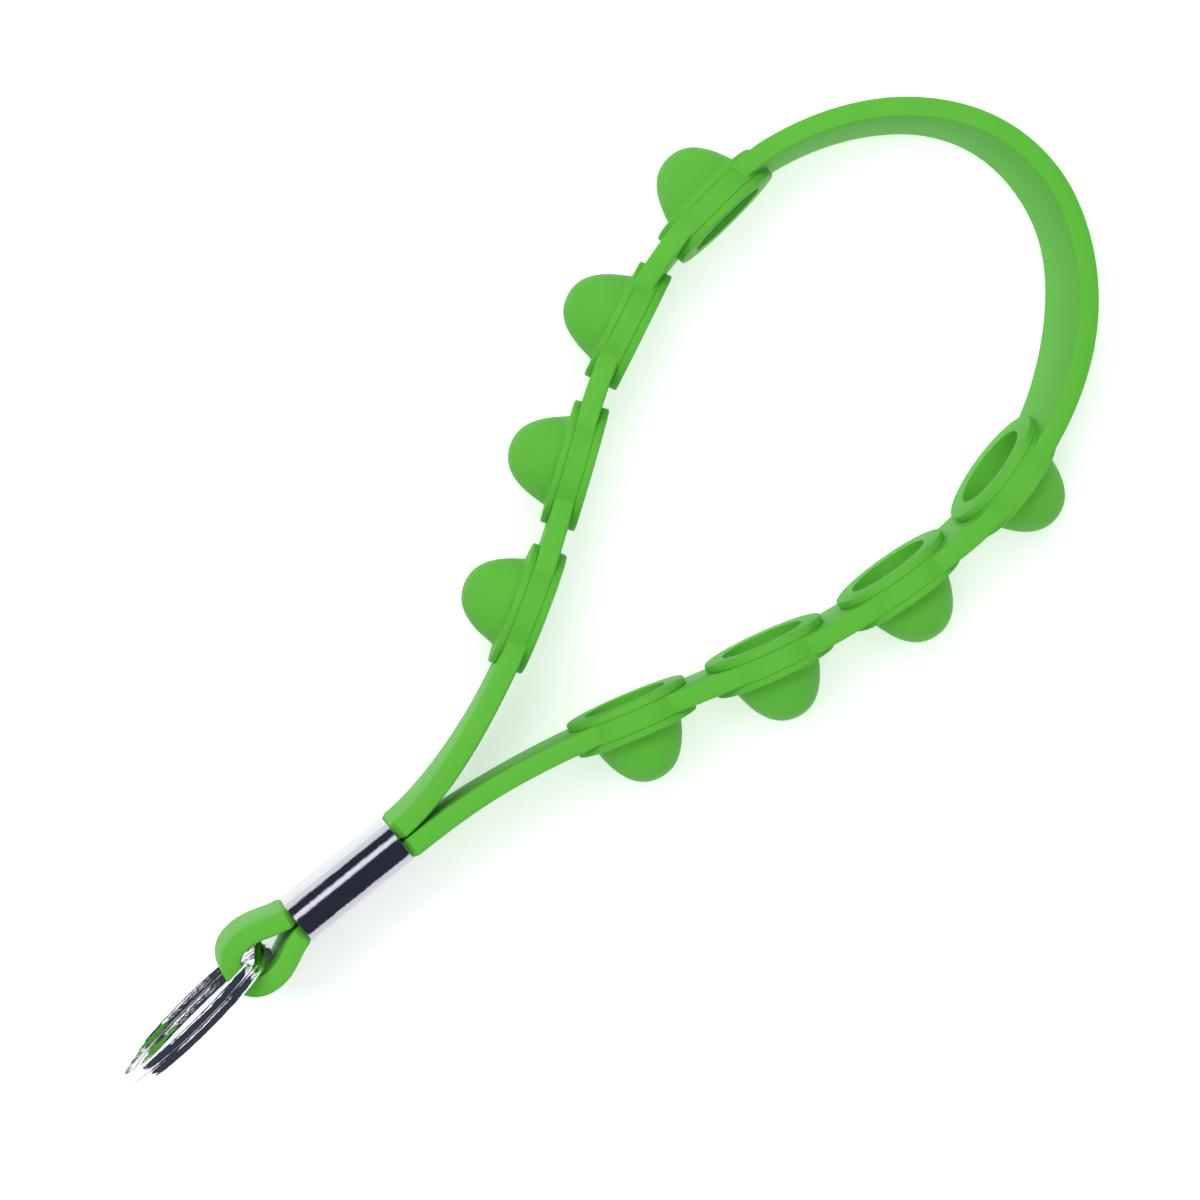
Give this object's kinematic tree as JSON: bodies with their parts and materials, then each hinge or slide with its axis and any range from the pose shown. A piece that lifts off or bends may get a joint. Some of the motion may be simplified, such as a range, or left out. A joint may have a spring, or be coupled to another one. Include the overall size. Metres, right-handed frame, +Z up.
{
  "type": "clicker wrist lanyard",
  "caption": "Silicone wrist lanyard with round pads and hollow pop-through clicker domes along a hand loop, closed by a flattened metal ferrule with a split ring in its eye.",
  "frame": {"origin": "under the middle of the whole lanyard, at the height of its lowest point", "axes": "+Y from the split ring to the far end of the hand loop, +X across the loop, +Z up along the strap's width"},
  "size_m": [0.0758, 0.182, 0.0282],
  "materials": {
    "silicone": "bright lime green, smooth satin silicone",
    "metal_ferrule": "polished plated sheet metal",
    "metal_ring": "polished nickel-plated spring wire"
  },
  "bodies": {
    "band": {"eye_fold": "silicone", "ferrule": "metal_ferrule", "hand_arc_left": "silicone", "hand_arc_right": "silicone", "hand_arc_top": "silicone", "leg_left": "silicone", "leg_right": "silicone", "link_left_1": "silicone", "link_left_2": "silicone", "link_left_3": "silicone", "link_right_1": "silicone", "link_right_2": "silicone", "link_right_3": "silicone", "pad_left_1": "silicone", "pad_left_2": "silicone", "pad_left_3": "silicone", "pad_left_4": "silicone", "pad_right_1": "silicone", "pad_right_2": "silicone", "pad_right_3": "silicone", "pad_right_4": "silicone"},
    "dome_wall_left_1": {"dome_wall_left_1": "silicone"},
    "dome_crown_left_1": {"dome_crown_left_1": "silicone"},
    "dome_wall_left_2": {"dome_wall_left_2": "silicone"},
    "dome_crown_left_2": {"dome_crown_left_2": "silicone"},
    "dome_wall_left_3": {"dome_wall_left_3": "silicone"},
    "dome_crown_left_3": {"dome_crown_left_3": "silicone"},
    "dome_wall_left_4": {"dome_wall_left_4": "silicone"},
    "dome_crown_left_4": {"dome_crown_left_4": "silicone"},
    "dome_wall_right_1": {"dome_wall_right_1": "silicone"},
    "dome_crown_right_1": {"dome_crown_right_1": "silicone"},
    "dome_wall_right_2": {"dome_wall_right_2": "silicone"},
    "dome_crown_right_2": {"dome_crown_right_2": "silicone"},
    "dome_wall_right_3": {"dome_wall_right_3": "silicone"},
    "dome_crown_right_3": {"dome_crown_right_3": "silicone"},
    "dome_wall_right_4": {"dome_wall_right_4": "silicone"},
    "dome_crown_right_4": {"dome_crown_right_4": "silicone"},
    "ring": {"split_ring": "metal_ring"}
  },
  "joints": [
    {"name": "push_wall_left_1", "type": "slide", "parent": "band", "child": "dome_wall_left_1", "axis": [0.8642, 0.4998, -0.0583], "range_m": [0, 0.008]},
    {"name": "push_crown_left_1", "type": "slide", "parent": "band", "child": "dome_crown_left_1", "axis": [0.8642, 0.4998, -0.0583], "range_m": [0, 0.016]},
    {"name": "push_wall_left_2", "type": "slide", "parent": "band", "child": "dome_wall_left_2", "axis": [0.8186, 0.574, -0.0215], "range_m": [0, 0.008]},
    {"name": "push_crown_left_2", "type": "slide", "parent": "band", "child": "dome_crown_left_2", "axis": [0.8186, 0.574, -0.0215], "range_m": [0, 0.016]},
    {"name": "push_wall_left_3", "type": "slide", "parent": "band", "child": "dome_wall_left_3", "axis": [0.9078, 0.4193, -0.0068], "range_m": [0, 0.008]},
    {"name": "push_crown_left_3", "type": "slide", "parent": "band", "child": "dome_crown_left_3", "axis": [0.9078, 0.4193, -0.0068], "range_m": [0, 0.016]},
    {"name": "push_wall_left_4", "type": "slide", "parent": "band", "child": "dome_wall_left_4", "axis": [0.9928, 0.1007, 0.0653], "range_m": [0, 0.008]},
    {"name": "push_crown_left_4", "type": "slide", "parent": "band", "child": "dome_crown_left_4", "axis": [0.9928, 0.1007, 0.0653], "range_m": [0, 0.016]},
    {"name": "push_wall_right_1", "type": "slide", "parent": "band", "child": "dome_wall_right_1", "axis": [-0.9603, 0.2681, 0.0774], "range_m": [0, 0.008]},
    {"name": "push_crown_right_1", "type": "slide", "parent": "band", "child": "dome_crown_right_1", "axis": [-0.9603, 0.2681, 0.0774], "range_m": [0, 0.016]},
    {"name": "push_wall_right_2", "type": "slide", "parent": "band", "child": "dome_wall_right_2", "axis": [-0.9629, 0.2465, 0.1102], "range_m": [0, 0.008]},
    {"name": "push_crown_right_2", "type": "slide", "parent": "band", "child": "dome_crown_right_2", "axis": [-0.9629, 0.2465, 0.1102], "range_m": [0, 0.016]},
    {"name": "push_wall_right_3", "type": "slide", "parent": "band", "child": "dome_wall_right_3", "axis": [-0.9878, 0.0606, 0.1434], "range_m": [0, 0.008]},
    {"name": "push_crown_right_3", "type": "slide", "parent": "band", "child": "dome_crown_right_3", "axis": [-0.9878, 0.0606, 0.1434], "range_m": [0, 0.016]},
    {"name": "push_wall_right_4", "type": "slide", "parent": "band", "child": "dome_wall_right_4", "axis": [-0.9444, -0.2525, 0.2107], "range_m": [0, 0.008]},
    {"name": "push_crown_right_4", "type": "slide", "parent": "band", "child": "dome_crown_right_4", "axis": [-0.9444, -0.2525, 0.2107], "range_m": [0, 0.016]},
    {"name": "ring_swing", "type": "hinge", "parent": "band", "child": "ring", "pos_m": [0.01299, -0.06545, 0.0138], "axis": [0.1126, 0.0491, 0.9924], "range_deg": [-14, 14]}
  ],
  "couplings": [
    {"joint": "push_crown_left_1", "follows": "push_wall_left_1", "ratio": 2},
    {"joint": "push_crown_left_2", "follows": "push_wall_left_2", "ratio": 2},
    {"joint": "push_crown_left_3", "follows": "push_wall_left_3", "ratio": 2},
    {"joint": "push_crown_left_4", "follows": "push_wall_left_4", "ratio": 2},
    {"joint": "push_crown_right_1", "follows": "push_wall_right_1", "ratio": 2},
    {"joint": "push_crown_right_2", "follows": "push_wall_right_2", "ratio": 2},
    {"joint": "push_crown_right_3", "follows": "push_wall_right_3", "ratio": 2},
    {"joint": "push_crown_right_4", "follows": "push_wall_right_4", "ratio": 2}
  ]
}
